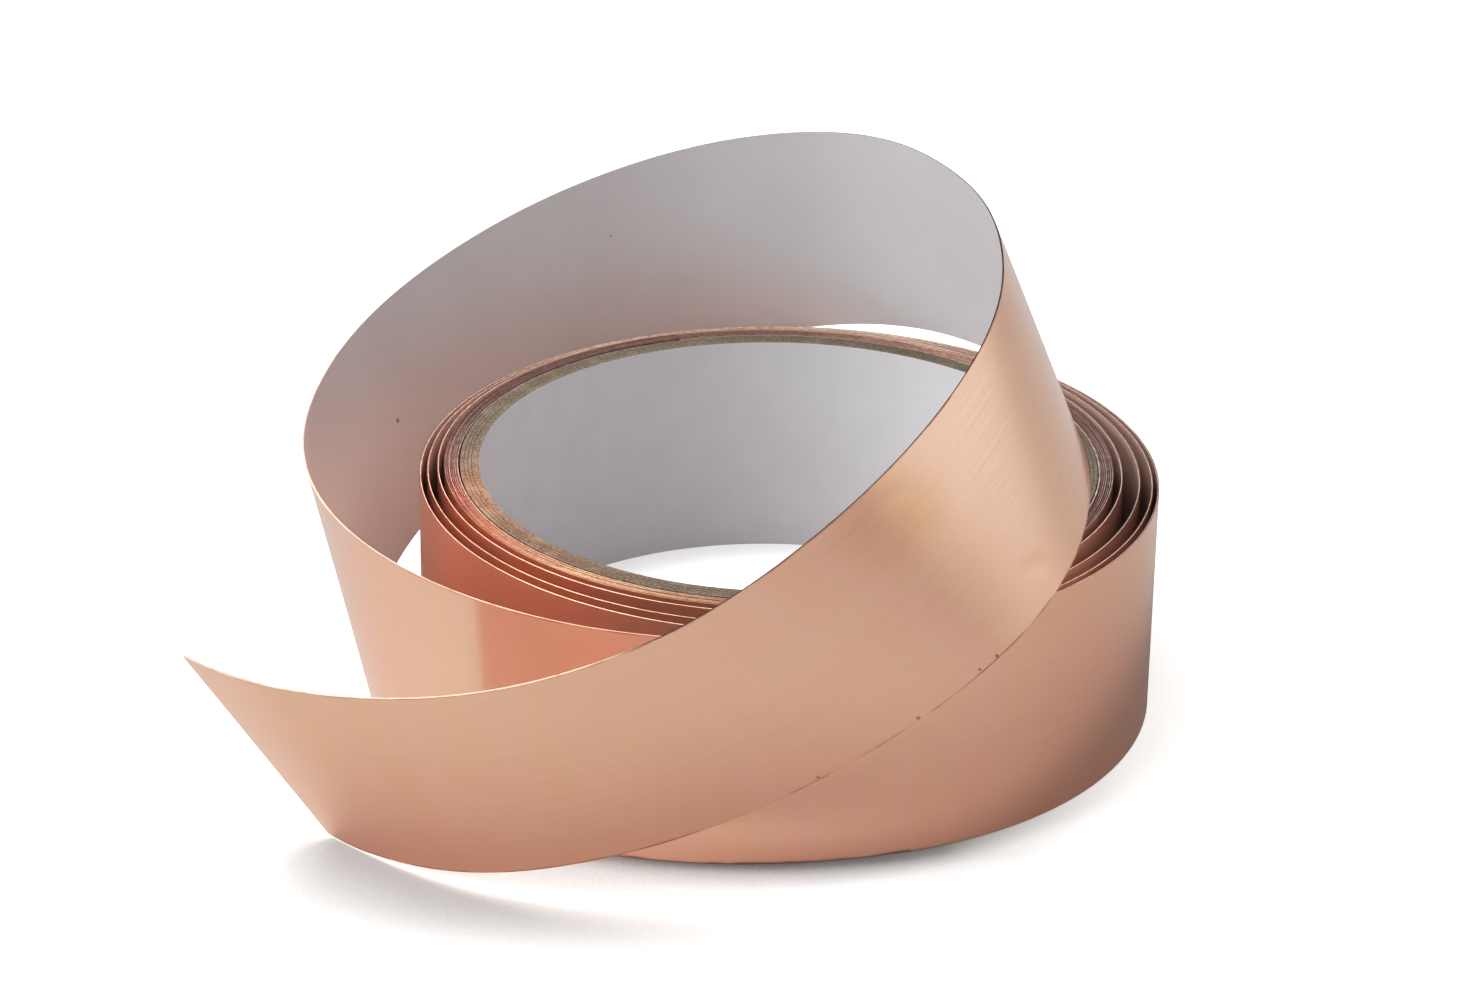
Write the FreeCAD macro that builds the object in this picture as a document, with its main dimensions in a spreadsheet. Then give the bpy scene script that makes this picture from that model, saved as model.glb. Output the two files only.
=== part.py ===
"""Copper foil tape roll: a 30 mm adhesive copper tape on a 3 inch paper core.

The core stands on its end with its axis along +Z and the origin on that axis, at the core's lower
end. The tape is wound clockwise, seen from above. Its inner turns are tight, three outer turns have
sprung loose, and the last stretch leaves the roll at the front, goes once round it, rises over its
right-hand side and comes down to the cut end in front.

A winding is a row of half circles. Their ends lie on one line through the core's axis, the slack
line: the turns are packed together at its back end and spread out at its front end. The free strip
is a flat strip bent without stretching, given by its curvature and the slant of its rulings, which
are the straight lines across it.
"""

import FreeCAD, Part

import math
import os

import Sketcher
from FreeCAD import Placement, Rotation, Vector

DIMENSIONS = {
    "tape_width": 30.0,
    "foil_thickness": 0.05,
    "adhesive_thickness": 0.05,
    "release_thickness": 0.1,
    "bore_radius": 38.1,
    "core_wall": 2.4,
    "white_ply_thickness": 0.5,
    "board_plies": 4,
    "tab_thickness": 0.1,
    "tab_length": 15.0,
    "tab_height": 26.0,
    "tape_lift": 0.1,
    "slack_line_azimuth": -71.0,
    "tight_turns": 7,
    "tight_pitch_back": 0.23,
    "tight_pitch_front": 0.28,
    "wind_clearance": 0.02,
    "slip_clearance": 0.12,
    "loose_pitch_back": 0.23,
    "loose_front_1": 44.1,
    "loose_front_2": 47.2,
    "loose_front_3": 49.4,
    "strip_start_radius": 50.4,
    "strip_length": 403.0,
    "peel_length": 12.0,
    "peel_clearance": 0.03,
}

# The free strip at evenly spaced stations, from where it leaves the roll to its cut end: its
# curvature in 1/m, and the slant of its rulings, in mm along the strip for each mm across it.
STRIP_CURVATURE = [12.3, 21.1, 17.8, 19.8, 21.7, 23.7, 12.3, 19.1, 16.6, 17.3, 16.9]
STRIP_SLANT = [0.0, 0.02, 0.4, 0.07, 0.03, 0.04, -0.12, -0.13, 0.42, -0.05, 0.29]

LOOSE_TURNS = 3
STRIP_STEP = 1.0
EDGE_POINT_SPACING = 6.0
LAYERS = ("foil", "adhesive", "liner")


def make_sheet(doc):
    """The spreadsheet of driving dimensions, one alias for each."""
    cells = dict(DIMENSIONS)
    for station, (curvature, slant) in enumerate(zip(STRIP_CURVATURE, STRIP_SLANT)):
        cells[f"strip_curvature_{station:02d}"] = curvature
        cells[f"strip_slant_{station:02d}"] = slant
    sheet = doc.addObject("Spreadsheet::Sheet", "Dimensions")
    for row, (name, value) in enumerate(cells.items(), start=1):
        sheet.set(f"A{row}", name)
        sheet.set(f"B{row}", str(value))
        sheet.setAlias(f"B{row}", name)
    doc.recompute()
    return sheet


def layer_depths(sheet):
    """Each layer's outer and inner depth below the tape's copper face."""
    foil = sheet.foil_thickness
    adhesive = foil + sheet.adhesive_thickness
    return {
        "foil": (0.0, foil),
        "adhesive": (foil, adhesive),
        "liner": (adhesive, adhesive + sheet.release_thickness),
    }


def tape_thickness(sheet):
    return sheet.foil_thickness + sheet.adhesive_thickness + sheet.release_thickness


# ---------------------------------------------------------------- bodies made of rings


def make_body(doc, label):
    """An empty body with one sketch on its own XY plane."""
    body = doc.addObject("PartDesign::Body", label)
    body.Label = label
    sketch = body.newObject("Sketcher::SketchObject", label + "_profile")
    plane = next(f for f in body.Origin.OriginFeatures if f.Role == "XY_Plane")
    sketch.AttachmentSupport = [(plane, "")]
    sketch.MapMode = "FlatFace"
    return body, sketch


def pad(body, sketch, length):
    """Pads the sketch upwards by a length given as a sheet expression."""
    feature = body.newObject("PartDesign::Pad", body.Name + "_pad")
    feature.Profile = sketch
    feature.setExpression("Length", length)
    body.Tip = feature
    sketch.Visibility = False


def add_core_ply(doc, label, inner, outer):
    """One paper ply of the core: a ring whose two radii are sheet expressions."""
    body, sketch = make_body(doc, label)
    for radius in (inner, outer):
        start_radius = doc.Dimensions.bore_radius
        circle = sketch.addGeometry(Part.Circle(Vector(), Vector(0, 0, 1), start_radius), False)
        sketch.addConstraint(Sketcher.Constraint("Coincident", circle, 3, -1, 1))
        constraint = sketch.addConstraint(Sketcher.Constraint("Radius", circle, start_radius))
        sketch.setExpression(f"Constraints[{constraint}]", radius)
    pad(body, sketch, "Dimensions.tape_width")
    return body


def add_core(doc, sheet):
    """The white liner ply, then the grey board plies that share the rest of the wall."""
    white = "Dimensions.bore_radius + Dimensions.white_ply_thickness"
    board = "(Dimensions.core_wall - Dimensions.white_ply_thickness) / Dimensions.board_plies"
    plies = [add_core_ply(doc, "core_white_ply", "Dimensions.bore_radius", white)]
    for ply in range(int(sheet.board_plies)):
        inner = f"{white} + {ply} * {board}"
        outer = f"{white} + {ply + 1} * {board}"
        plies.append(add_core_ply(doc, f"core_board_ply_{ply + 1}", inner, outer))
    return plies


def add_starter_tab(doc):
    """The double-sided tab between the core and the tape's inner end, cut from a thin sleeve."""
    radius = "(Dimensions.bore_radius + Dimensions.core_wall)"
    span = f"Dimensions.tab_length / {radius} * 180 / pi * 1 deg"
    sleeve = doc.addObject("Part::Cylinder", "tab_sleeve")
    sleeve.setExpression("Radius", f"{radius} + Dimensions.tab_thickness")
    sleeve.setExpression("Height", "Dimensions.tab_height")
    sleeve.setExpression("Angle", span)
    core = doc.addObject("Part::Cylinder", "tab_inside")
    core.setExpression("Radius", radius)
    core.setExpression("Height", "Dimensions.tab_height")
    tab = doc.addObject("Part::Cut", "starter_tab")
    tab.Base = sleeve
    tab.Tool = core
    tab.Label = "starter_tab"
    tab.Placement = Placement(Vector(), Rotation(Vector(0, 0, 1), 0))
    tab.setExpression(
        "Placement.Base.z",
        "Dimensions.tape_lift + (Dimensions.tape_width - Dimensions.tab_height) / 2",
    )
    start = f"(Dimensions.slack_line_azimuth + 180) * 1 deg - {span}"
    tab.setExpression("Placement.Rotation.Angle", start)
    return tab


# ---------------------------------------------------------------- windings


def winding_arcs(radii, depth):
    """The half circles of a winding's face at one depth, through the radii along the slack line.

    The first radius is at the back end of the line (-X here), the next at its front end, and so on.
    """
    arcs = []
    for half, (start, end) in enumerate(zip(radii, radii[1:])):
        towards_front = half % 2 == 0
        shift = (end - start) / 2 if towards_front else (start - end) / 2
        circle = Part.Circle(Vector(shift, 0, 0), Vector(0, 0, 1), (start + end) / 2 - depth)
        first = 0.0 if towards_front else math.pi
        arcs.append(Part.ArcOfCircle(circle, first, first + math.pi))
    return arcs


def line_end(radii, index, depth):
    """Where a face at that depth meets the slack line at one of the winding's radii."""
    side = -1 if index % 2 == 0 else 1
    return Vector(side * (radii[index] - depth), 0, 0)


def add_winding(doc, label, radii, depths):
    """One layer of a winding, between two depths below the copper face."""
    body, sketch = make_body(doc, label)
    outer, inner = depths
    sketch.addGeometry(winding_arcs(radii, outer), False)
    sketch.addGeometry(winding_arcs(radii, inner), False)
    for index in (0, len(radii) - 1):
        ends = (line_end(radii, index, outer), line_end(radii, index, inner))
        sketch.addGeometry(Part.LineSegment(*ends), False)
    pad(body, sketch, "Dimensions.tape_width")
    body.Placement = Placement(Vector(0, 0, 1), Rotation(Vector(0, 0, 1), 1))
    body.setExpression("Placement.Base.z", "Dimensions.tape_lift")
    body.setExpression("Placement.Rotation.Angle", "Dimensions.slack_line_azimuth * 1 deg")
    return body


def tight_radii(sheet):
    """The copper face's radii along the slack line, back and front in turn, for the tight turns."""
    base = sheet.bore_radius + sheet.core_wall + sheet.tab_thickness
    base += sheet.wind_clearance + tape_thickness(sheet)
    radii = []
    for turn in range(int(sheet.tight_turns)):
        radii.append(base + turn * sheet.tight_pitch_back)
        radii.append(base + (turn + 0.5) * sheet.tight_pitch_front)
    radii.append(base + sheet.tight_turns * sheet.tight_pitch_back)
    return radii


def loose_sections(sheet):
    """The loose turns' radii: one row of three for each full turn, and two for the last half."""
    back = tight_radii(sheet)[-1] + sheet.slip_clearance + tape_thickness(sheet)
    sections = {}
    for turn in range(1, LOOSE_TURNS + 1):
        front = getattr(sheet, f"loose_front_{turn}")
        sections[f"loose_turn_{turn}"] = [back, front, back + sheet.loose_pitch_back]
        back += sheet.loose_pitch_back
    sections["outer_half_turn"] = [back, sheet.strip_start_radius]
    return sections


def add_windings(doc, sheet):
    """Every layer of the tight winding and of each loose turn."""
    sections = {"tight_winding": tight_radii(sheet)}
    sections.update(loose_sections(sheet))
    made = []
    for section, radii in sections.items():
        for layer, depths in layer_depths(sheet).items():
            made.append(add_winding(doc, f"{section}_{layer}", radii, depths))
    return made


# ---------------------------------------------------------------- free strip


def between_stations(values, position):
    """A smooth curve through evenly spaced values, read at a position counted in stations."""
    last = len(values) - 1
    station = min(int(position), last - 1)
    part = position - station
    before = values[max(station - 1, 0)]
    here = values[station]
    following = values[station + 1]
    after = values[min(station + 2, last)]
    linear = following - before
    square = 2 * before - 5 * here + 4 * following - after
    cube = 3 * here - before - 3 * following + after
    return 0.5 * (2 * here + linear * part + square * part**2 + cube * part**3)


def strip_frames(sheet):
    """The strip's centreline from its start to its cut end, a list of (distance, point, normal, ruling).

    The normal points from the copper face to the liner. The ruling reaches from the centreline to
    the upper edge for a half width of 1. The strip turns about its ruling as it goes along.
    """
    stations = range(len(STRIP_CURVATURE))
    curvatures = [getattr(sheet, f"strip_curvature_{i:02d}") / 1000 for i in stations]
    slants = [getattr(sheet, f"strip_slant_{i:02d}") for i in stations]
    steps = round(sheet.strip_length / STRIP_STEP)
    step = sheet.strip_length / steps
    per_station = steps / (len(STRIP_CURVATURE) - 1)
    azimuth = math.radians(sheet.slack_line_azimuth)
    outwards = Vector(math.cos(azimuth), math.sin(azimuth), 0)
    tangent = Vector(math.sin(azimuth), -math.cos(azimuth), 0)
    normal = -outwards
    upright = Vector(0, 0, 1)
    point = outwards * sheet.strip_start_radius
    point.z = sheet.tape_lift + sheet.tape_width / 2
    frames = [(0.0, point, normal, upright + tangent * slants[0])]
    for count in range(steps):
        middle = (count + 0.5) / per_station
        curvature = between_stations(curvatures, middle)
        turn_line = upright + tangent * between_stations(slants, middle)
        turn = Rotation(turn_line, -math.degrees(curvature * turn_line.Length * step))
        old_tangent = tangent
        tangent = turn.multVec(tangent)
        normal = turn.multVec(normal)
        upright = turn.multVec(upright)
        point = point + (old_tangent + tangent) * (step / 2)
        slant = between_stations(slants, (count + 1) / per_station)
        frames.append(((count + 1) * step, point, normal, upright + tangent * slant))
    return frames


def strip_edge(frames, across, depth):
    """The smooth line at one distance across the strip and one depth below the copper face."""
    points = [point + ruling * across + normal * depth for _, point, normal, ruling in frames]
    curve = Part.BSplineCurve()
    curve.interpolate(Points=points, Parameters=[frame[0] for frame in frames])
    return curve.toShape()


def strip_solid(frames, half_width, outer, inner):
    """A stretch of one layer of the strip, as a closed solid of four long faces and two ends."""
    corners = [(half_width, outer), (half_width, inner), (-half_width, inner), (-half_width, outer)]
    edges = [strip_edge(frames, across, depth) for across, depth in corners]
    faces = [Part.makeRuledSurface(edges[i], edges[(i + 1) % 4]) for i in range(4)]
    for _, point, normal, ruling in (frames[0], frames[-1]):
        ring = [point + ruling * across + normal * depth for across, depth in corners]
        faces.append(Part.Face(Part.makePolygon(ring + ring[:1])))
    shell = Part.Shell(faces)
    shell.sewShape()
    solid = Part.Solid(shell)
    if solid.Volume < 0:
        solid.reverse()
    return solid


def spaced_frames(frames, start, end):
    """The frames from one distance to another, thinned to the spacing of an edge's points."""
    inside = [frame for frame in frames if start - 1e-6 <= frame[0] <= end + 1e-6]
    count = max(2, round((end - start) / EDGE_POINT_SPACING))
    picks = [round(i * (len(inside) - 1) / count) for i in range(count + 1)]
    return [inside[pick] for pick in picks]


def add_feature(doc, label, shape):
    feature = doc.addObject("Part::Feature", label)
    feature.Label = label
    feature.Shape = shape
    feature.Placement = Placement()
    return feature


def add_free_strip(doc, sheet):
    """The strip's three layers, and the liner's last stretch as a tab that can be peeled back."""
    frames = strip_frames(sheet)
    half_width = sheet.tape_width / 2
    length = sheet.strip_length
    fold = length - sheet.peel_length
    whole = spaced_frames(frames, 0, length)
    stuck = spaced_frames(frames, 0, fold)
    peeled = spaced_frames(frames, fold, length)
    depths = layer_depths(sheet)
    made = []
    for layer, stretch in zip(LAYERS, (whole, whole, stuck)):
        solid = strip_solid(stretch, half_width, *depths[layer])
        made.append(add_feature(doc, f"free_strip_{layer}", solid))
    outer, inner = (depth + sheet.peel_clearance for depth in depths["liner"])
    tab = strip_solid(peeled, half_width, outer, inner)
    made.append(add_feature(doc, "liner_peel_tab", tab))
    return made


# ---------------------------------------------------------------- the whole roll


def check(doc, parts):
    """Stops with a plain message if any feature failed or any sub-part isn't one valid solid."""
    for feature in doc.Objects:
        failed = {"Invalid", "Error"} & set(feature.State)
        if failed:
            raise RuntimeError(f"{feature.Label} is {failed}")
    for part in parts:
        shape = part.Shape
        if shape.isNull() or not shape.isValid() or shape.Volume <= 0:
            raise RuntimeError(f"{part.Label} has no valid shape")
        if len(shape.Solids) != 1:
            raise RuntimeError(f"{part.Label} has {len(shape.Solids)} solids")


def build():
    """Makes the document and returns it with its sub-parts."""
    doc = FreeCAD.newDocument("copper_foil_tape_roll")
    sheet = make_sheet(doc)
    parts = add_core(doc, sheet)
    parts.append(add_starter_tab(doc))
    parts += add_windings(doc, sheet)
    parts += add_free_strip(doc, sheet)
    doc.recompute()
    check(doc, parts)
    return doc, parts


def main():
    doc, parts = build()
    os.makedirs("parts", exist_ok=True)
    for part in parts:
        part.Shape.exportStep(os.path.join("parts", part.Label + ".step"))
        box = part.Shape.BoundBox
        print(f"{part.Label:28s} {part.Shape.Volume:10.2f} mm3  z {box.ZMin:.3f} to {box.ZMax:.3f}")


main()
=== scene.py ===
"""Copper foil tape roll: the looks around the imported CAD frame.

The core's plies and the starter tab are the CAD solids with better materials. The tape's layers are
made again here, on the same lines as the CAD solids, with finer meshes, uneven slit edges and the
soft dents of handled foil. Lengths are in millimetres until a mesh is made.
"""

import math

import bpy
import numpy as np
from mathutils import Matrix, Quaternion, Vector


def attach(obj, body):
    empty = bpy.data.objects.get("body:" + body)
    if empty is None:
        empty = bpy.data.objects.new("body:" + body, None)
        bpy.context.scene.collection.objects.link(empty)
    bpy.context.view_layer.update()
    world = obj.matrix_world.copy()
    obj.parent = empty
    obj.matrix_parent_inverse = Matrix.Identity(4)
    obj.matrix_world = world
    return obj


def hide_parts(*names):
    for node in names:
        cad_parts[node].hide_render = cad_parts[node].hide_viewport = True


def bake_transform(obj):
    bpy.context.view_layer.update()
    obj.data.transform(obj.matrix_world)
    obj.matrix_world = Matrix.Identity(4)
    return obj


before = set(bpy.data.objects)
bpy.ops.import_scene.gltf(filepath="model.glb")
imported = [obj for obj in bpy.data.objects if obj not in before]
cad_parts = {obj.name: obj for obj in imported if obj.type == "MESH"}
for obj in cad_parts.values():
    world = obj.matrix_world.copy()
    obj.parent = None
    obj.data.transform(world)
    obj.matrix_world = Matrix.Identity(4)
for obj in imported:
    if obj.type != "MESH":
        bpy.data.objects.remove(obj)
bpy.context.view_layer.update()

MM = 0.001

# ---------------------------------------------------------------- the CAD model's dimensions

TAPE_WIDTH = 30.0
TAPE_LIFT = 0.1
LAYER_DEPTHS = {"foil": (0.0, 0.05), "adhesive": (0.05, 0.1), "liner": (0.1, 0.2)}
TAPE_THICKNESS = LAYER_DEPTHS["liner"][1]
SLACK_LINE = math.radians(-71.0)
BORE_RADIUS = 38.1
WHITE_PLY = 0.5
CORE_WALL = 2.4
BOARD_PLIES = 4
TAB_THICKNESS = 0.1
TAB_LENGTH = 15.0
WIND_CLEARANCE = 0.02
TIGHT_BASE = BORE_RADIUS + CORE_WALL + TAB_THICKNESS + WIND_CLEARANCE + TAPE_THICKNESS
TIGHT_TURNS = 7
TIGHT_PITCH_BACK = 0.23
TIGHT_PITCH_FRONT = 0.28
SLIP_CLEARANCE = 0.12
LOOSE_PITCH_BACK = 0.23
LOOSE_FRONTS = (44.1, 47.2, 49.4)
STRIP_START_RADIUS = 50.4
STRIP_LENGTH = 403.0
STRIP_STEPS = 403
PEEL_LENGTH = 12.0
PEEL_CLEARANCE = 0.03
STRIP_CURVATURE = (12.3, 21.1, 17.8, 19.8, 21.7, 23.7, 12.3, 19.1, 16.6, 17.3, 16.9)
STRIP_SLANT = (0.0, 0.02, 0.4, 0.07, 0.03, 0.04, -0.12, -0.13, 0.42, -0.05, 0.29)

# ---------------------------------------------------------------- paths of the tape


# Stations nearer to each other than this are at the same place.
SAME_PLACE = 1e-6


class Path:
    """Stations along the tape: how far along, centreline, normal to the liner side, ruling."""

    def __init__(self, along, points, normals, rulings):
        self.along = np.array(along, float)
        self.points = np.array(points, float)
        self.normals = np.array(normals, float)
        self.rulings = np.array(rulings, float)

    def part(self, start, end):
        """The stations from one distance along the tape to another."""
        keep = (self.along >= start - SAME_PLACE) & (self.along <= end + SAME_PLACE)
        return Path(self.along[keep], self.points[keep], self.normals[keep], self.rulings[keep])


def winding_path(radii, start_along, step_degrees=2.0):
    """Half circles through the radii along the slack line, back and front in turn."""
    along, points, normals = [], [], []
    reached = start_along
    steps = round(180 / step_degrees)
    for half, (start, end) in enumerate(zip(radii, radii[1:])):
        towards_front = half % 2 == 0
        shift = (end - start) / 2 if towards_front else (start - end) / 2
        radius = (start + end) / 2
        first = math.pi if towards_front else 0.0
        for step in range(0 if half == 0 else 1, steps + 1):
            angle = first - math.pi * step / steps
            along.append(reached + radius * math.pi * step / steps)
            turned = angle + SLACK_LINE
            outwards = Vector((math.cos(turned), math.sin(turned), 0))
            centre = Vector((math.cos(SLACK_LINE), math.sin(SLACK_LINE), 0)) * shift
            point = centre + outwards * radius
            point.z = TAPE_LIFT + TAPE_WIDTH / 2
            points.append(point)
            normals.append(-outwards)
        reached += radius * math.pi
    return Path(along, points, normals, [Vector((0, 0, 1))] * len(points))


def between_stations(values, position):
    """A smooth curve through evenly spaced values, read at a position counted in stations."""
    last = len(values) - 1
    station = min(int(position), last - 1)
    part = position - station
    before = values[max(station - 1, 0)]
    here = values[station]
    following = values[station + 1]
    after = values[min(station + 2, last)]
    linear = following - before
    square = 2 * before - 5 * here + 4 * following - after
    cube = 3 * here - before - 3 * following + after
    return 0.5 * (2 * here + linear * part + square * part**2 + cube * part**3)


def strip_path():
    """The free strip, bent about its rulings from the roll to the cut end."""
    step = STRIP_LENGTH / STRIP_STEPS
    per_station = STRIP_STEPS / (len(STRIP_CURVATURE) - 1)
    outwards = Vector((math.cos(SLACK_LINE), math.sin(SLACK_LINE), 0))
    tangent = Vector((math.sin(SLACK_LINE), -math.cos(SLACK_LINE), 0))
    normal = -outwards
    upright = Vector((0, 0, 1))
    point = outwards * STRIP_START_RADIUS
    point.z = TAPE_LIFT + TAPE_WIDTH / 2
    along, points, normals, rulings = [0.0], [point], [normal], [upright + tangent * STRIP_SLANT[0]]
    for count in range(STRIP_STEPS):
        middle = (count + 0.5) / per_station
        curvature = between_stations(STRIP_CURVATURE, middle) / 1000
        turn_line = upright + tangent * between_stations(STRIP_SLANT, middle)
        turn = Quaternion(turn_line, -curvature * turn_line.length * step)
        old_tangent = tangent
        tangent = turn @ tangent
        normal = turn @ normal
        upright = turn @ upright
        point = point + (old_tangent + tangent) * (step / 2)
        slant = between_stations(STRIP_SLANT, (count + 1) / per_station)
        along.append((count + 1) * step)
        points.append(point)
        normals.append(normal)
        rulings.append(upright + tangent * slant)
    return Path(along, points, normals, rulings)


# ---------------------------------------------------------------- small irregularities


def wander(seed, value, wavelengths, amplitude):
    """A smooth uneven curve: sines of the given wavelengths with seeded phases."""
    random = np.random.default_rng(seed)
    total = np.zeros_like(np.asarray(value, float))
    for wavelength in wavelengths:
        total += np.sin(2 * np.pi * (value / wavelength + random.random()))
    return amplitude * total / len(wavelengths)


def no_ripple(along, across):
    return np.zeros(np.broadcast(along, across).shape)


# Creases and dents in the free strip: from and to (along, across), half width, depth.
STRIP_MARKS = (
    ((319.0, 14.2), (311.0, 13.0), 0.5, 0.035),
    ((311.0, 13.0), (305.0, 11.5), 0.6, 0.02),
    ((297.5, -9.0), (294.0, -10.5), 0.7, 0.03),
    ((294.0, -10.5), (292.5, -14.0), 0.7, 0.03),
    ((311.0, -15.0), (314.0, -13.0), 0.9, 0.04),
    ((327.0, -15.0), (324.0, -14.0), 0.9, 0.03),
    ((96.0, 15.0), (93.0, 13.5), 1.0, 0.03),
)


def marks(along, across):
    """How deep the creases and dents are at each place on the strip."""
    total = np.zeros(np.broadcast(along, across).shape)
    for start, end, width, depth in STRIP_MARKS:
        run = np.subtract(end, start)
        offset_along, offset_across = along - start[0], across - start[1]
        share = (offset_along * run[0] + offset_across * run[1]) / (run @ run)
        share = np.clip(share, 0, 1)
        distance = np.hypot(offset_along - share * run[0], offset_across - share * run[1])
        total += depth * np.exp(-((distance / width) ** 2))
    return total


# The strip starts to be uneven over this length. Its waves go both ways, so it is set inwards, and
# its upper edge is cut back, by just enough for it to stay in the CAD model's box.
RIPPLE_FADE = 30.0
STRIP_INSET = 0.06
STRIP_TRIM = 0.06


def strip_ripple(along, across):
    """How far the handled strip stands off its smooth shape, towards its liner side."""
    fade = np.clip(along / RIPPLE_FADE, 0, 1)
    share = across / TAPE_WIDTH
    slow = wander(11, along, (83.0, 57.0, 41.0), 0.10)
    tilt = wander(12, along, (61.0, 37.0, 29.0), 0.16)
    cup = wander(13, along, (47.0, 31.0), 0.06)
    waves = slow + tilt * share + cup * (4 * share**2 - 0.5)
    return fade * (STRIP_INSET + waves) + marks(along, across)


def strip_trim(along):
    """How far the strip's upper edge lies below the full width."""
    return np.full_like(along, STRIP_TRIM)


# ---------------------------------------------------------------- meshes


# The map's height of a slit edge, so that the map is not squashed flat there.
UV_DEPTH = 0.05

# Faces that meet at more than this are shaded with a sharp edge between them.
SHARP_ANGLE = math.radians(40)


def level(along):
    return np.zeros_like(along)


def tape_object(name, path, depths, columns=3, ripple=no_ripple, drop=level, rise=level):
    """One layer of a stretch of tape, a closed thin solid between two depths.

    drop(along) is how far its upper edge lies below the full width, rise(along) how far its lower
    edge lies above it.
    """
    rows = len(path.along)
    share = np.linspace(0, 1, columns)[None, :]
    along = path.along[:, None]
    lowest = rise(along) - TAPE_WIDTH / 2
    highest = TAPE_WIDTH / 2 - drop(along)
    across = lowest + (highest - lowest) * share
    lift = ripple(along, across)
    faces_at = []
    for depth in depths:
        depth = np.broadcast_to(depth, rows)[:, None]
        place = path.points[:, None, :] + path.rulings[:, None, :] * across[:, :, None]
        place = place + path.normals[:, None, :] * (depth + lift)[:, :, None]
        faces_at.append(place.reshape(-1, 3))
    vertices = np.concatenate(faces_at) * MM
    flat = np.stack([np.broadcast_to(along, across.shape).ravel(), across.ravel()], 1)
    flat = np.concatenate([flat, flat + (0, UV_DEPTH)]) * MM

    index = np.arange(rows * columns).reshape(rows, columns)
    inner = index + rows * columns
    quads = []

    def add(a, b, c, d):
        quads.append(np.stack([a.ravel(), b.ravel(), c.ravel(), d.ravel()], 1))

    add(index[:-1, :-1], index[:-1, 1:], index[1:, 1:], index[1:, :-1])
    add(inner[:-1, :-1], inner[1:, :-1], inner[1:, 1:], inner[:-1, 1:])
    add(index[:-1, -1], inner[:-1, -1], inner[1:, -1], index[1:, -1])
    add(index[:-1, 0], index[1:, 0], inner[1:, 0], inner[:-1, 0])
    add(index[0, :-1], inner[0, :-1], inner[0, 1:], index[0, 1:])
    add(index[-1, :-1], index[-1, 1:], inner[-1, 1:], inner[-1, :-1])
    quads = np.concatenate(quads)

    mesh = bpy.data.meshes.new(name)
    mesh.from_pydata(vertices.tolist(), [], quads.tolist())
    layer = mesh.uv_layers.new(name="tape")
    layer.data.foreach_set("uv", flat[quads.ravel()].astype(np.float32).ravel())
    mesh.polygons.foreach_set("use_smooth", [True] * len(mesh.polygons))
    mesh.set_sharp_from_angle(angle=SHARP_ANGLE)
    edge_faces = np.zeros(len(quads), np.int32)
    edge_faces[2 * (rows - 1) * (columns - 1):] = 1
    mesh.polygons.foreach_set("material_index", edge_faces)
    mesh.update()
    piece = bpy.data.objects.new(name, mesh)
    bpy.context.scene.collection.objects.link(piece)
    return piece


# ---------------------------------------------------------------- materials


def node(tree, kind, **values):
    """A shader node; values named like its sockets go to the sockets, the rest to its properties."""
    made = tree.nodes.new(kind)
    for key, value in values.items():
        if key in made.inputs:
            made.inputs[key].default_value = value
        else:
            setattr(made, key, value)
    return made


def new_material(name, roughness, metallic=0.0):
    """A material with one Principled shader. Gives the material, its tree and the shader."""
    material = bpy.data.materials.new(name)
    material.use_nodes = True
    shader = shader_of(material)
    shader.inputs["Roughness"].default_value = roughness
    shader.inputs["Metallic"].default_value = metallic
    return material, material.node_tree, shader


def shader_of(material):
    return material.node_tree.nodes["Principled BSDF"]


def object_place(tree):
    return node(tree, "ShaderNodeTexCoord").outputs["Object"]


def tape_place(tree):
    """Where a point is on the flat tape: along it and across it, in metres."""
    return node(tree, "ShaderNodeUVMap", uv_map="tape").outputs["UV"]


def axes(tree, vector):
    """The outputs X, Y and Z of a vector."""
    split = node(tree, "ShaderNodeSeparateXYZ")
    tree.links.new(vector, split.inputs["Vector"])
    return split.outputs


def noise(tree, source, scale, detail=3.0, stretch=(1, 1, 1)):
    """Noise over the given coordinates, squeezed along each axis by stretch."""
    mapping = node(tree, "ShaderNodeMapping", Scale=stretch)
    texture = node(tree, "ShaderNodeTexNoise", Scale=scale, Detail=detail)
    tree.links.new(source, mapping.inputs["Vector"])
    tree.links.new(mapping.outputs["Vector"], texture.inputs["Vector"])
    return texture.outputs["Fac"]


def ramp(tree, value, low, high, dark, light):
    """A colour that goes from dark to light as the value goes from low to high."""
    made = node(tree, "ShaderNodeValToRGB")
    made.color_ramp.elements[0].position = low
    made.color_ramp.elements[0].color = (*dark, 1)
    made.color_ramp.elements[1].position = high
    made.color_ramp.elements[1].color = (*light, 1)
    tree.links.new(value, made.inputs["Fac"])
    return made.outputs["Color"]


def map_range(tree, value, low, high, to_low, to_high):
    """The value carried from one range to another, and held at its ends."""
    made = node(tree, "ShaderNodeMapRange")
    made.inputs["From Min"].default_value = low
    made.inputs["From Max"].default_value = high
    made.inputs["To Min"].default_value = to_low
    made.inputs["To Max"].default_value = to_high
    tree.links.new(value, made.inputs["Value"])
    return made.outputs["Result"]


def math_node(tree, operation, *values):
    """The result of a mathematical operation on one or two values."""
    made = node(tree, "ShaderNodeMath", operation=operation)
    for value, socket in zip(values, made.inputs):
        tree.links.new(value, socket)
    return made.outputs[0]


def multiply(tree, first, second):
    return math_node(tree, "MULTIPLY", first, second)


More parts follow.
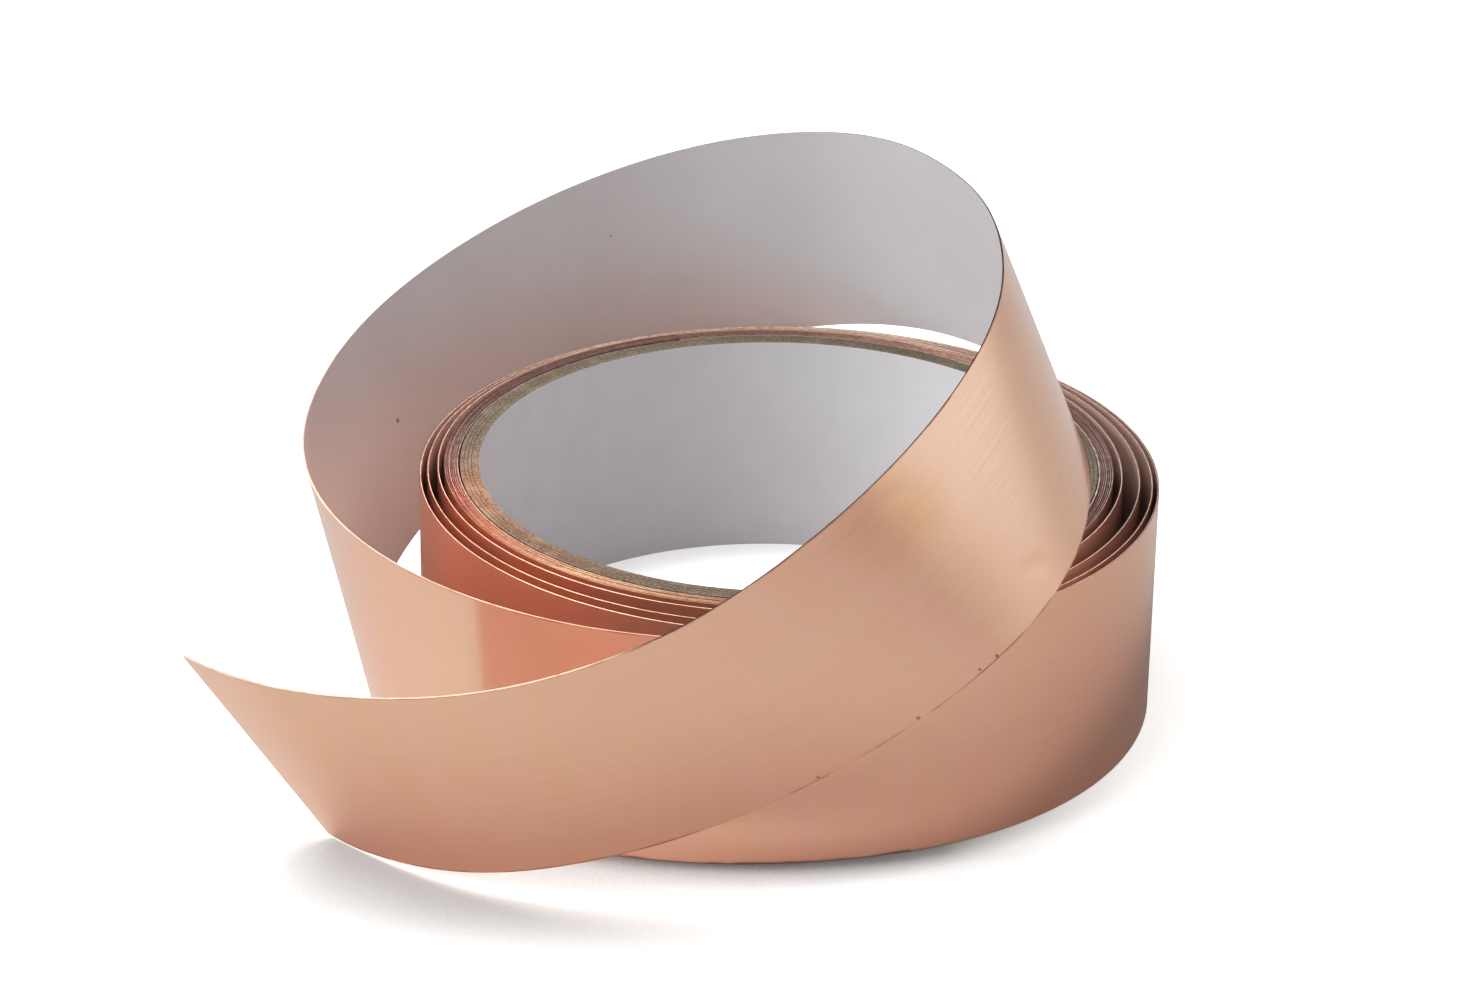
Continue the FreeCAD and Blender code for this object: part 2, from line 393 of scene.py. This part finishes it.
def bump(tree, value, distance, strength=1.0, onto=None):
    """A normal for small relief of the given height in metres, on top of another one if given."""
    made = node(tree, "ShaderNodeBump", Distance=distance, Strength=strength)
    tree.links.new(value, made.inputs["Height"])
    if onto is not None:
        tree.links.new(onto, made.inputs["Normal"])
    return made.outputs["Normal"]


def mix(tree, factor, first, second):
    """The first colour where the factor is 0 and the second where it is 1."""
    made = node(tree, "ShaderNodeMix", data_type="RGBA")
    tree.links.new(factor, made.inputs["Factor"])
    for name, value in (("A", first), ("B", second)):
        socket = next(s for s in made.inputs if s.name == name and s.type == "RGBA")
        if isinstance(value, tuple):
            socket.default_value = (*value, 1)
        else:
            tree.links.new(value, socket)
    return next(s for s in made.outputs if s.type == "RGBA")


def spot(tree, uv, along, across, radius, strength):
    """A soft round patch on the tape, 0 outside its radius and its strength in the middle."""
    away = node(tree, "ShaderNodeVectorMath", operation="DISTANCE")
    tree.links.new(uv, away.inputs[0])
    away.inputs[1].default_value = (along * MM, across * MM, 0)
    made = map_range(tree, away.outputs["Value"], 0.0, radius * MM, strength, 0.0)
    made.node.interpolation_type = "SMOOTHERSTEP"
    return made


def brushed(tree, shader, amount):
    """Spreads the shader's highlights square to the tape's length."""
    shader.inputs["Anisotropic"].default_value = amount
    shader.inputs["Anisotropic Rotation"].default_value = 0.25
    tangent = node(tree, "ShaderNodeTangent", direction_type="UV_MAP", uv_map="tape")
    tree.links.new(tangent.outputs["Tangent"], shader.inputs["Tangent"])


# How far from the strip's slit edges their painted shade starts, and where it is complete.
EDGE_SHADE_START = 0.32
EDGE_SHADE_FULL = 0.05


def painted_edge_shade(tree, uv):
    """Painted shade, broken into patches, in the last fraction of a millimetre before the slit edges.
    """
    away = math_node(tree, "ABSOLUTE", axes(tree, uv)["Y"])
    half = TAPE_WIDTH / 2
    near = map_range(tree, away, (half - EDGE_SHADE_START) * MM, (half - EDGE_SHADE_FULL) * MM, 0.0, 1.0)
    patches = map_range(tree, noise(tree, uv, 1.0, 4.0, (260, 900, 1)), 0.42, 0.6, 0.1, 0.9)
    return multiply(tree, near, patches)


def copper_material(name, stains_and_shade=()):
    """Rolled copper foil: satin, with faint rolling lines along the tape and a mild unevenness.

    Patches are tan stains and painted shade in dents, each along, across, radius, strength, colour.
    Given patches, the slit edges get painted shade too.
    """
    material, tree, shader = new_material(name, 0.2, 1.0)
    uv = tape_place(tree)
    lines = noise(tree, uv, 1.0, 4.0, (40, 5200, 1))
    broad = noise(tree, uv, 1.0, 3.0, (28, 45, 1))
    bands = noise(tree, uv, 1.0, 2.0, (110, 14, 1))
    tint = ramp(tree, broad, 0.35, 0.7, (0.90, 0.565, 0.425), (0.93, 0.60, 0.45))
    tint = mix(tree, map_range(tree, bands, 0.4, 0.65, 0.0, 0.6), tint, (0.93, 0.58, 0.48))
    tint = mix(tree, map_range(tree, lines, 0.5, 0.7, 0.0, 0.25), tint, (0.84, 0.50, 0.36))
    if stains_and_shade:
        # Dark brown painted shade along the slit edges, for the dark line where the strip meets the
        # roll.
        tint = mix(tree, painted_edge_shade(tree, uv), tint, (0.42, 0.22, 0.14))
    for *where, colour in stains_and_shade:
        tint = mix(tree, spot(tree, uv, *where), tint, colour)
    tree.links.new(tint, shader.inputs["Base Color"])
    tree.links.new(map_range(tree, lines, 0.3, 0.7, 0.17, 0.23), shader.inputs["Roughness"])
    brushed(tree, shader, 0.6)
    fine = bump(tree, lines, 0.000004, 0.5)
    tree.links.new(bump(tree, broad, 0.00006, 0.35, fine), shader.inputs["Normal"])
    return material


# The wound foil's slit edge has a painted highlight in front of the first Y, in metres, and none behind
# the second.
PAINTED_GLINT_Y = (-0.034, -0.012)


def wound_edge_material():
    """The slit edge of the wound foil: grainy copper, with a painted highlight at the front."""
    material, tree, shader = new_material("copper_wound_edge", 0.6, 1.0)
    brushed(tree, shader, 0.85)
    place = object_place(tree)
    grain = noise(tree, place, 1500.0, 3.0)
    plain = ramp(tree, grain, 0.38, 0.62, (0.60, 0.33, 0.23), (0.95, 0.72, 0.57))
    # A brighter copper, painted over the front of the edge as the lamps' glints there.
    bright = ramp(tree, grain, 0.34, 0.6, (0.88, 0.50, 0.27), (1.0, 0.90, 0.70))
    front = map_range(tree, axes(tree, place)["Y"], *PAINTED_GLINT_Y, 1.0, 0.0)
    tree.links.new(mix(tree, front, plain, bright), shader.inputs["Base Color"])
    tree.links.new(bump(tree, grain, 0.00005, 0.8), shader.inputs["Normal"])
    return material


# The free strip's slit edge, from the roll to the cut: distance along it, and colour.
STRIP_EDGE_TONES = (
    (0.0, (0.80, 0.62, 0.56)),
    (50.0, (0.92, 0.68, 0.53)),
    (118.0, (0.90, 0.66, 0.52)),
    (140.0, (0.36, 0.33, 0.29)),
    (235.0, (0.32, 0.31, 0.27)),
    (262.0, (0.04, 0.022, 0.018)),
    (341.0, (0.04, 0.018, 0.013)),
    (351.0, (0.85, 0.58, 0.42)),
    (403.0, (0.80, 0.55, 0.42)),
)


def strip_edge_material():
    """The slit edge of the free strip: copper-coloured near its ends, grey along the back loop and
    nearly black along the front, with brown patches.
    """
    material, tree, shader = new_material("copper_strip_edge", 0.5, 0.3)
    uv = tape_place(tree)
    share = map_range(tree, axes(tree, uv)["X"], 0.0, STRIP_LENGTH * MM, 0.0, 1.0)
    tones = node(tree, "ShaderNodeValToRGB")
    elements = tones.color_ramp.elements
    while len(elements) < len(STRIP_EDGE_TONES):
        elements.new(0.5)
    for element, (along, colour) in zip(elements, STRIP_EDGE_TONES):
        element.position = along / STRIP_LENGTH
        element.color = (*colour, 1)
    tree.links.new(share, tones.inputs["Fac"])
    grain = noise(tree, uv, 1.0, 3.0, (900, 900, 1))
    worn_share = map_range(tree, grain, 0.52, 0.7, 0.0, 0.5)
    worn = mix(tree, worn_share, tones.outputs["Color"], (0.2, 0.11, 0.07))
    tree.links.new(worn, shader.inputs["Base Color"])
    return material


PAPER_ROUGHNESS = 0.35


def paper_material(name, dark, light, roughness, scale=60.0, grain_height=0.00001):
    """Paper: a pale, faintly mottled colour and a fine grain."""
    material, tree, shader = new_material(name, roughness)
    place = object_place(tree)
    mottle = noise(tree, place, scale, 5.0)
    tree.links.new(ramp(tree, mottle, 0.3, 0.7, dark, light), shader.inputs["Base Color"])
    grain = noise(tree, place, 2500.0, 2.0)
    tree.links.new(bump(tree, grain, grain_height, 0.4), shader.inputs["Normal"])
    return material


STRIP_PAPER = ((0.62, 0.605, 0.615), (0.65, 0.635, 0.645))


def strip_liner_material(specks):
    """The free strip's release paper, with a few brown specks: along, across, radius, strength."""
    material = paper_material("release_paper_strip", *STRIP_PAPER, PAPER_ROUGHNESS)
    tree = material.node_tree
    shader = shader_of(material)
    tint = shader.inputs["Base Color"].links[0].from_socket
    uv = tape_place(tree)
    for speck in specks:
        tint = mix(tree, spot(tree, uv, *speck), tint, (0.30, 0.10, 0.06))
    tree.links.new(tint, shader.inputs["Base Color"])
    return material


def board_colour(tree, place):
    """The colour of cut chipboard, and the fibres that it is made from."""
    fibres = noise(tree, place, 2600.0, 5.0)
    patches = noise(tree, place, 420.0, 4.0)
    base = ramp(tree, fibres, 0.3, 0.7, (0.10, 0.075, 0.055), (0.26, 0.22, 0.165))
    pale = map_range(tree, patches, 0.5, 0.75, 0.0, 0.5)
    return mix(tree, pale, base, (0.31, 0.27, 0.215)), fibres


def board_material():
    """Grey chipboard: fibres, and a thin dark glue line between plies."""
    material, tree, shader = new_material("core_chipboard", 0.9)
    place = object_place(tree)
    flat = node(tree, "ShaderNodeVectorMath", operation="MULTIPLY")
    flat.inputs[1].default_value = (1, 1, 0)
    tree.links.new(place, flat.inputs[0])
    radius = node(tree, "ShaderNodeVectorMath", operation="LENGTH")
    tree.links.new(flat.outputs["Vector"], radius.inputs[0])
    inside = (BORE_RADIUS + WHITE_PLY) * MM
    ply = (CORE_WALL - WHITE_PLY) / BOARD_PLIES * MM
    counted = map_range(tree, radius.outputs["Value"], inside, inside + ply, 0.0, 1.0)
    counted.node.clamp = False
    share = math_node(tree, "FRACT", counted)
    line = map_range(tree, share, 0.72, 0.95, 0.0, 1.0)
    last_ply = map_range(tree, counted, BOARD_PLIES - 1.05, BOARD_PLIES - 0.95, 1.0, 0.0)
    glue = multiply(tree, line, last_ply)
    colour, fibres = board_colour(tree, place)
    tree.links.new(mix(tree, glue, colour, (0.06, 0.045, 0.03)), shader.inputs["Base Color"])
    tree.links.new(bump(tree, fibres, 0.0001, 0.8), shader.inputs["Normal"])
    return material


CORE_PAPER_TONES = ((0.63, 0.63, 0.645), (0.655, 0.655, 0.67))


def core_paper_material():
    """The core's white liner ply: grey-white paper, with the colour of board on its cut end."""
    material = paper_material("core_white_paper", *CORE_PAPER_TONES, 0.75, 240.0, 0.00002)
    tree = material.node_tree
    shader = shader_of(material)
    paper = shader.inputs["Base Color"].links[0].from_socket
    colour, _ = board_colour(tree, object_place(tree))
    facing = axes(tree, node(tree, "ShaderNodeNewGeometry").outputs["Normal"])
    end = map_range(tree, facing["Z"], 0.4, 0.6, 0.0, 1.0)
    tree.links.new(mix(tree, end, paper, colour), shader.inputs["Base Color"])
    return material


# How bright the object sees the floor, and how strongly the floor glows for the camera.
FLOOR_REFLECTED = (0.50, 0.50, 0.50)
FLOOR_GLOW = 0.6

# The painted contact shadow where something is near the floor: how near, in metres, how open the floor
# is where the shadow is full and where it ends, and its colour.
CONTACT_REACH = 0.01
CONTACT_OPENNESS = (0.6, 0.93)
CONTACT_GREY = (0.11, 0.11, 0.11)

# The painted contact shadow is uneven: each line has two places along an axis, in metres, and the
# strength at each.
CONTACT_BY_DEPTH = (-0.05, -0.01, 0.95, 0.4)
CONTACT_BY_LEFT = (-0.045, -0.03, 0.5, 1.0)
CONTACT_BY_RIGHT = (0.02, 0.045, 1.0, 0.35)

# The wider, weaker painted shade under the free strip at the front, in the same terms.
UNDER_REACH = 0.03
UNDER_OPENNESS = (0.5, 0.85)
UNDER_MOST = 0.7
UNDER_BY_DEPTH = (-0.048, -0.038, 1.0, 0.0)


def openness(tree, reach):
    """How open the surface is to its surroundings within the given reach, 0 to 1."""
    return node(tree, "ShaderNodeAmbientOcclusion", Distance=reach, samples=8).outputs["AO"]


def floor_contact(tree, place):
    """How strongly the painted contact shadow darkens the floor under the object, 0 to 1."""
    at = axes(tree, place)
    close = map_range(tree, openness(tree, CONTACT_REACH), *CONTACT_OPENNESS, 1.0, 0.0)
    under = map_range(tree, openness(tree, UNDER_REACH), *UNDER_OPENNESS, UNDER_MOST, 0.0)
    left = map_range(tree, at["X"], *CONTACT_BY_LEFT)
    right = map_range(tree, at["X"], *CONTACT_BY_RIGHT)
    close = multiply(tree, close, map_range(tree, at["Y"], *CONTACT_BY_DEPTH))
    close = multiply(tree, close, multiply(tree, left, right))
    under = multiply(tree, under, map_range(tree, at["Y"], *UNDER_BY_DEPTH))
    return math_node(tree, "MAXIMUM", close, under)


def floor_material():
    """A white sweep that glows for the camera, and has a painted contact shadow where the object comes
    close to it.

    The object reflects it greyer than the picture shows it.
    """
    material, tree, shader = new_material("studio_floor", 0.85)
    place = object_place(tree)
    clouds = noise(tree, place, 2.0, 2.0)
    white = ramp(tree, clouds, 0.3, 0.7, (0.95, 0.95, 0.95), (0.96, 0.96, 0.96))
    contact = floor_contact(tree, place)
    seen = mix(tree, contact, white, CONTACT_GREY)
    direct = node(tree, "ShaderNodeLightPath").outputs["Is Camera Ray"]
    tree.links.new(mix(tree, direct, FLOOR_REFLECTED, seen), shader.inputs["Base Color"])
    glow = multiply(tree, map_range(tree, contact, 0.0, 1.0, FLOOR_GLOW, 0.0), direct)
    shader.inputs["Emission Color"].default_value = (1, 1, 1, 1)
    tree.links.new(glow, shader.inputs["Emission Strength"])
    return material


# Patches on the free strip's foil, tan stains and painted shade in the dents along its lower edge:
# along, across, radius, strength, colour.
TAN = (0.84, 0.49, 0.29)
# Dark brown, painted as the shade in the dents along the strip's lower edge.
DENT_SHADE = (0.30, 0.14, 0.08)
STRIP_STAINS_AND_SHADE = (
    (309.0, 9.5, 10.0, 0.3, TAN),
    (304.0, 8.0, 6.0, 0.2, TAN),
    (311.0, -14.6, 0.5, 0.9, DENT_SHADE),
    (314.5, -14.4, 0.4, 0.8, DENT_SHADE),
    (325.0, -14.6, 0.4, 0.8, DENT_SHADE),
    (337.0, -14.5, 0.35, 0.7, DENT_SHADE),
)
STRIP_SPECKS = ((131.0, 0.0, 0.5, 1.0), (171.0, 6.0, 0.3, 0.5))

COPPER = copper_material("copper_foil")
STRIP_COPPER = copper_material("copper_free_strip", STRIP_STAINS_AND_SHADE)
STRIP_EDGE = strip_edge_material()
WOUND_EDGE = wound_edge_material()
LINER = paper_material("release_paper", (0.655, 0.64, 0.65), (0.69, 0.675, 0.685), PAPER_ROUGHNESS)
WOUND_LINER = paper_material(
    "release_paper_wound", (0.66, 0.55, 0.52), (0.70, 0.59, 0.56), PAPER_ROUGHNESS
)
LINER_EDGE = paper_material("release_paper_edge", (0.26, 0.19, 0.18), (0.62, 0.52, 0.50), 0.7, 900.0)
LOOSE_LINER_EDGE = paper_material(
    "release_paper_loose_edge", (0.48, 0.36, 0.31), (0.88, 0.71, 0.61), 0.6, 900.0
)
ADHESIVE = paper_material("adhesive_film", (0.17, 0.10, 0.09), (0.27, 0.17, 0.155), 0.45, 700.0)
STRIP_LINER = strip_liner_material(STRIP_SPECKS)
CORE_PAPER = core_paper_material()
BOARD = board_material()
TAB = paper_material("double_sided_tape", (0.70, 0.66, 0.58), (0.80, 0.77, 0.70), 0.4)


def dress(piece, materials):
    """Puts the materials in the piece's slots: 0 for its faces, 1 for its slit edges."""
    slots = piece.data.materials
    for slot, material in enumerate(materials):
        if slot < len(slots):
            slots[slot] = material
        else:
            slots.append(material)


# ---------------------------------------------------------------- the core

for ply in range(1, BOARD_PLIES + 1):
    dress(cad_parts[f"core_board_ply_{ply}"], [BOARD])
dress(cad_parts["core_white_ply"], [CORE_PAPER])
dress(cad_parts["starter_tab"], [TAB])

# ---------------------------------------------------------------- the tape


def layer_materials(layer, loose):
    """The materials of a layer's faces and of its slit edges."""
    return {
        "foil": [COPPER, WOUND_EDGE],
        "adhesive": [ADHESIVE, WOUND_EDGE if loose else ADHESIVE],
        "liner": [WOUND_LINER, LOOSE_LINER_EDGE if loose else LINER_EDGE],
    }[layer]


def tight_radii():
    """The tight winding's radius at each half turn, back and front by turns."""
    radii = []
    for turn in range(TIGHT_TURNS):
        radii.append(TIGHT_BASE + turn * TIGHT_PITCH_BACK)
        radii.append(TIGHT_BASE + (turn + 0.5) * TIGHT_PITCH_FRONT)
    return radii + [TIGHT_BASE + TIGHT_TURNS * TIGHT_PITCH_BACK]


# How far the upper slit edges lie below the full width on average, and their fine unevenness.
EDGE_DROP = 0.06
EDGE_NICKS = 0.012

# The paper's slit edge lies this much lower than the foil's, and varies by a share of it.
LOOSE_SHY = 0.03
TIGHT_SHY = 0.13
SHY_VARIES = 0.9


def edge_drop(layer, loose):
    """How far each layer's upper slit edge lies below the full width, turn by turn."""
    shy = LOOSE_SHY if loose else TIGHT_SHY

    def drop(along):
        slow = EDGE_DROP + wander(21, along, (271.0, 163.0, 97.0), EDGE_DROP)
        fine = EDGE_NICKS * (1 + wander(22, along, (7.0, 11.0, 17.0), 1.0))
        if layer != "liner":
            return slow + fine
        return slow + shy + wander(23, along, (620.0, 410.0, 255.0), shy * SHY_VARIES)

    return drop


# The innermost turn's paper is not pressed flat: how far it stands up, and where and how gently.
BULGE = 0.09
BULGE_START = 30.0
BULGE_FADE = 10.0


def first_turn_bulge(along):
    """How much thicker the innermost turn's paper is: it stands up into the room next to the core."""
    end = 2 * math.pi * TIGHT_BASE - TAB_LENGTH
    rising = np.clip((along - BULGE_START) / BULGE_FADE, 0, 1)
    falling = np.clip((end - along) / BULGE_FADE, 0, 1)
    return BULGE * falling * rising


def add_section(section, path, body, node_name=None):
    """The three layers of one section, each standing for its CAD node. Gives the pieces.

    Without a body they ride on none.
    """
    made = []
    loose = section != "tight_winding"
    for layer, depths in LAYER_DEPTHS.items():
        if layer == "liner" and not loose:
            depths = (depths[0], depths[1] + first_turn_bulge(path.along))
        piece = tape_object(f"{section}_{layer}_strip", path, depths, drop=edge_drop(layer, loose))
        dress(piece, layer_materials(layer, loose))
        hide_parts(f"{node_name or section}_{layer}")
        if body:
            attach(piece, body)
        made.append(piece)
    return made


tight = winding_path(tight_radii(), 0.0)
add_section("tight_winding", tight, "roll")

back = tight_radii()[-1] + SLIP_CLEARANCE + TAPE_THICKNESS
reached = tight.along[-1]
for turn, front in enumerate(LOOSE_FRONTS, start=1):
    loose = winding_path([back, front, back + LOOSE_PITCH_BACK], reached)
    if turn == 1:
        # Its first half is where the tape passes from the roll into the loose turns.
        half = math.pi * (back + front) / 2
        lead = loose.part(reached, reached + half)
        line = Vector((math.cos(SLACK_LINE), math.sin(SLACK_LINE), 0))
        middle = (TAPE_LIFT + TAPE_WIDTH / 2) * MM
        for piece in add_section("loose_turn_1_lead", lead, None, "loose_turn_1"):
            start = -line * back * MM
            end = line * front * MM
            start.z = end.z = middle
            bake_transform(piece)
        add_section("loose_turn_1", loose.part(reached + half, loose.along[-1]), "tape_tail")
    else:
        add_section(f"loose_turn_{turn}", loose, "tape_tail")
    reached = loose.along[-1]
    back += LOOSE_PITCH_BACK
outer = winding_path([back, STRIP_START_RADIUS], reached)
add_section("outer_half_turn", outer, "tape_tail")

STRIP_COLUMNS = 31
CORNER_HEIGHT = 0.5
CORNER_LENGTH = 6.0


def shy_corner(along):
    """The foil and its adhesive end a little short of the paper at the cut's lower corner."""
    share = np.clip((along - STRIP_LENGTH + CORNER_LENGTH) / CORNER_LENGTH, 0, 1)
    return CORNER_HEIGHT * share**1.5


STRIP_FACES = {"foil": STRIP_COPPER, "adhesive": ADHESIVE, "liner": STRIP_LINER}
strip = strip_path()
fold = STRIP_LENGTH - PEEL_LENGTH
for layer, depths in LAYER_DEPTHS.items():
    stretch = strip.part(0, fold) if layer == "liner" else strip
    rise = level if layer == "liner" else shy_corner
    name = f"free_strip_{layer}_strip"
    piece = tape_object(name, stretch, depths, STRIP_COLUMNS, strip_ripple, strip_trim, rise)
    dress(piece, [STRIP_FACES[layer], STRIP_EDGE])
    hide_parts(f"free_strip_{layer}")
    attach(piece, "tape_tail")

tab_path = strip.part(fold, STRIP_LENGTH)
tab_depths = [depth + PEEL_CLEARANCE for depth in LAYER_DEPTHS["liner"]]
tab = tape_object("liner_peel_tab_strip", tab_path, tab_depths, STRIP_COLUMNS, strip_ripple, strip_trim)
dress(tab, [LINER, LINER_EDGE])
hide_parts("liner_peel_tab")
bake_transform(tab)

# ---------------------------------------------------------------- the studio

FLOOR_HALF = 6.0
floor_mesh = bpy.data.meshes.new("floor")
floor_corners = [(x * FLOOR_HALF, y * FLOOR_HALF, 0) for x, y in ((-1, -1), (1, -1), (1, 1), (-1, 1))]
floor_mesh.from_pydata(floor_corners, [], [(0, 1, 2, 3)])
floor = bpy.data.objects.new("floor", floor_mesh)
bpy.context.scene.collection.objects.link(floor)
dress(floor, [floor_material()])


def area_light(name, place, target, size, power, colour=(1, 1, 1)):
    """A rectangular lamp that faces its target. Places and sizes are in metres, power in watts."""
    data = bpy.data.lights.new(name, "AREA")
    data.shape = "RECTANGLE"
    data.size, data.size_y = size
    data.energy = power
    data.color = colour
    light = bpy.data.objects.new(name, data)
    bpy.context.scene.collection.objects.link(light)
    light.location = place
    light.rotation_mode = "QUATERNION"
    light.rotation_quaternion = (Vector(target) - Vector(place)).to_track_quat("-Z", "Y")


GAP_LIGHT_HEIGHT = 0.040
COPPER_GLOW = (1.0, 0.42, 0.26)


def gap_light(name, x, y, size, power):
    """A small warm lamp over the gap beside the roll, for the light that copper throws on copper."""
    area_light(name, (x, y, GAP_LIGHT_HEIGHT), (x, y, 0), size, power, COPPER_GLOW)


area_light("key_light", (-0.95, -0.2, 0.75), (0, 0, 0.03), (1.1, 1.1), 8.0)
area_light("top_light", (-0.6, 0.05, 1.0), (0, 0, 0), (0.9, 0.9), 8.0)
area_light("right_fill", (0.7, -0.25, 1.2), (0.1, 0, 0), (1.0, 1.0), 2.4)
gap_light("gap_glow", -0.0545, -0.012, (0.06, 0.004), 0.0048)
gap_light("gap_glow_front", -0.034, -0.0475, (0.004, 0.03), 0.003)
area_light("right_card", (1.15, 0.3, 0.14), (0, 0, 0.04), (1.5, 0.3), 1.15)

# The sky's strength at the horizon and overhead, and what it is multiplied by on three sides.
SKY_HORIZON = 0.35
SKY_ZENITH = 0.8
SKY_LEFT = 1.15
SKY_RIGHT = 0.62
SKY_BACK = 0.5
world = bpy.data.worlds.new("studio")
world.use_nodes = True
bpy.context.scene.world = world
sky = world.node_tree
direction = axes(sky, node(sky, "ShaderNodeTexCoord").outputs["Generated"])
height = map_range(sky, direction["Z"], 0.0, 1.0, SKY_HORIZON, SKY_ZENITH)
side = map_range(sky, direction["X"], -0.8, 0.8, SKY_LEFT, SKY_RIGHT)
depth = map_range(sky, direction["Y"], -0.2, 0.9, 1.0, SKY_BACK)
strength = multiply(sky, multiply(sky, height, side), depth)
background = sky.nodes["Background"]
background.inputs["Color"].default_value = (1, 1, 1, 1)
sky.links.new(strength, background.inputs["Strength"])

scene = bpy.context.scene
scene.view_settings.view_transform = "Standard"
scene.view_settings.look = "None"

# The picture's contrast: brightness in and out, in scene-linear light, on the curve for all colours.
COMBINED_CURVE = 3
TONE_POINTS = ((0.1, 0.072), (0.25, 0.225), (0.4, 0.43), (0.6, 0.65), (0.85, 0.87))
scene.view_settings.use_curve_mapping = True
tone_mapping = scene.view_settings.curve_mapping
for tone in TONE_POINTS:
    tone_mapping.curves[COMBINED_CURVE].points.new(*tone)
tone_mapping.update()

# ---------------------------------------------------------------- the camera

# The camera looks along Y and down by its pitch, and is turned a little about its own axis.
CAMERA_PLACE = (-5.18, -552.2, 280.9)
CAMERA_PITCH = math.radians(24.85)
CAMERA_ROLL = math.radians(0.956)
CAMERA_LENS = 116.4
SENSOR_WIDTH = 36.0
camera_data = bpy.data.cameras.new("camera")
camera_data.sensor_width = SENSOR_WIDTH
camera_data.lens = CAMERA_LENS
camera_data.clip_start = 0.05
camera_data.clip_end = 50.0
camera = bpy.data.objects.new("camera", camera_data)
scene.collection.objects.link(camera)
right = Vector((1, 0, 0))
up = Vector((0, math.sin(CAMERA_PITCH), math.cos(CAMERA_PITCH)))
ahead = Vector((0, math.cos(CAMERA_PITCH), -math.sin(CAMERA_PITCH)))
rolled_right = right * math.cos(CAMERA_ROLL) + up * math.sin(CAMERA_ROLL)
rolled_up = up * math.cos(CAMERA_ROLL) - right * math.sin(CAMERA_ROLL)
turned = Matrix((rolled_right, rolled_up, -ahead)).transposed().to_4x4()
camera.matrix_world = Matrix.Translation(Vector(CAMERA_PLACE) * MM) @ turned
scene.camera = camera
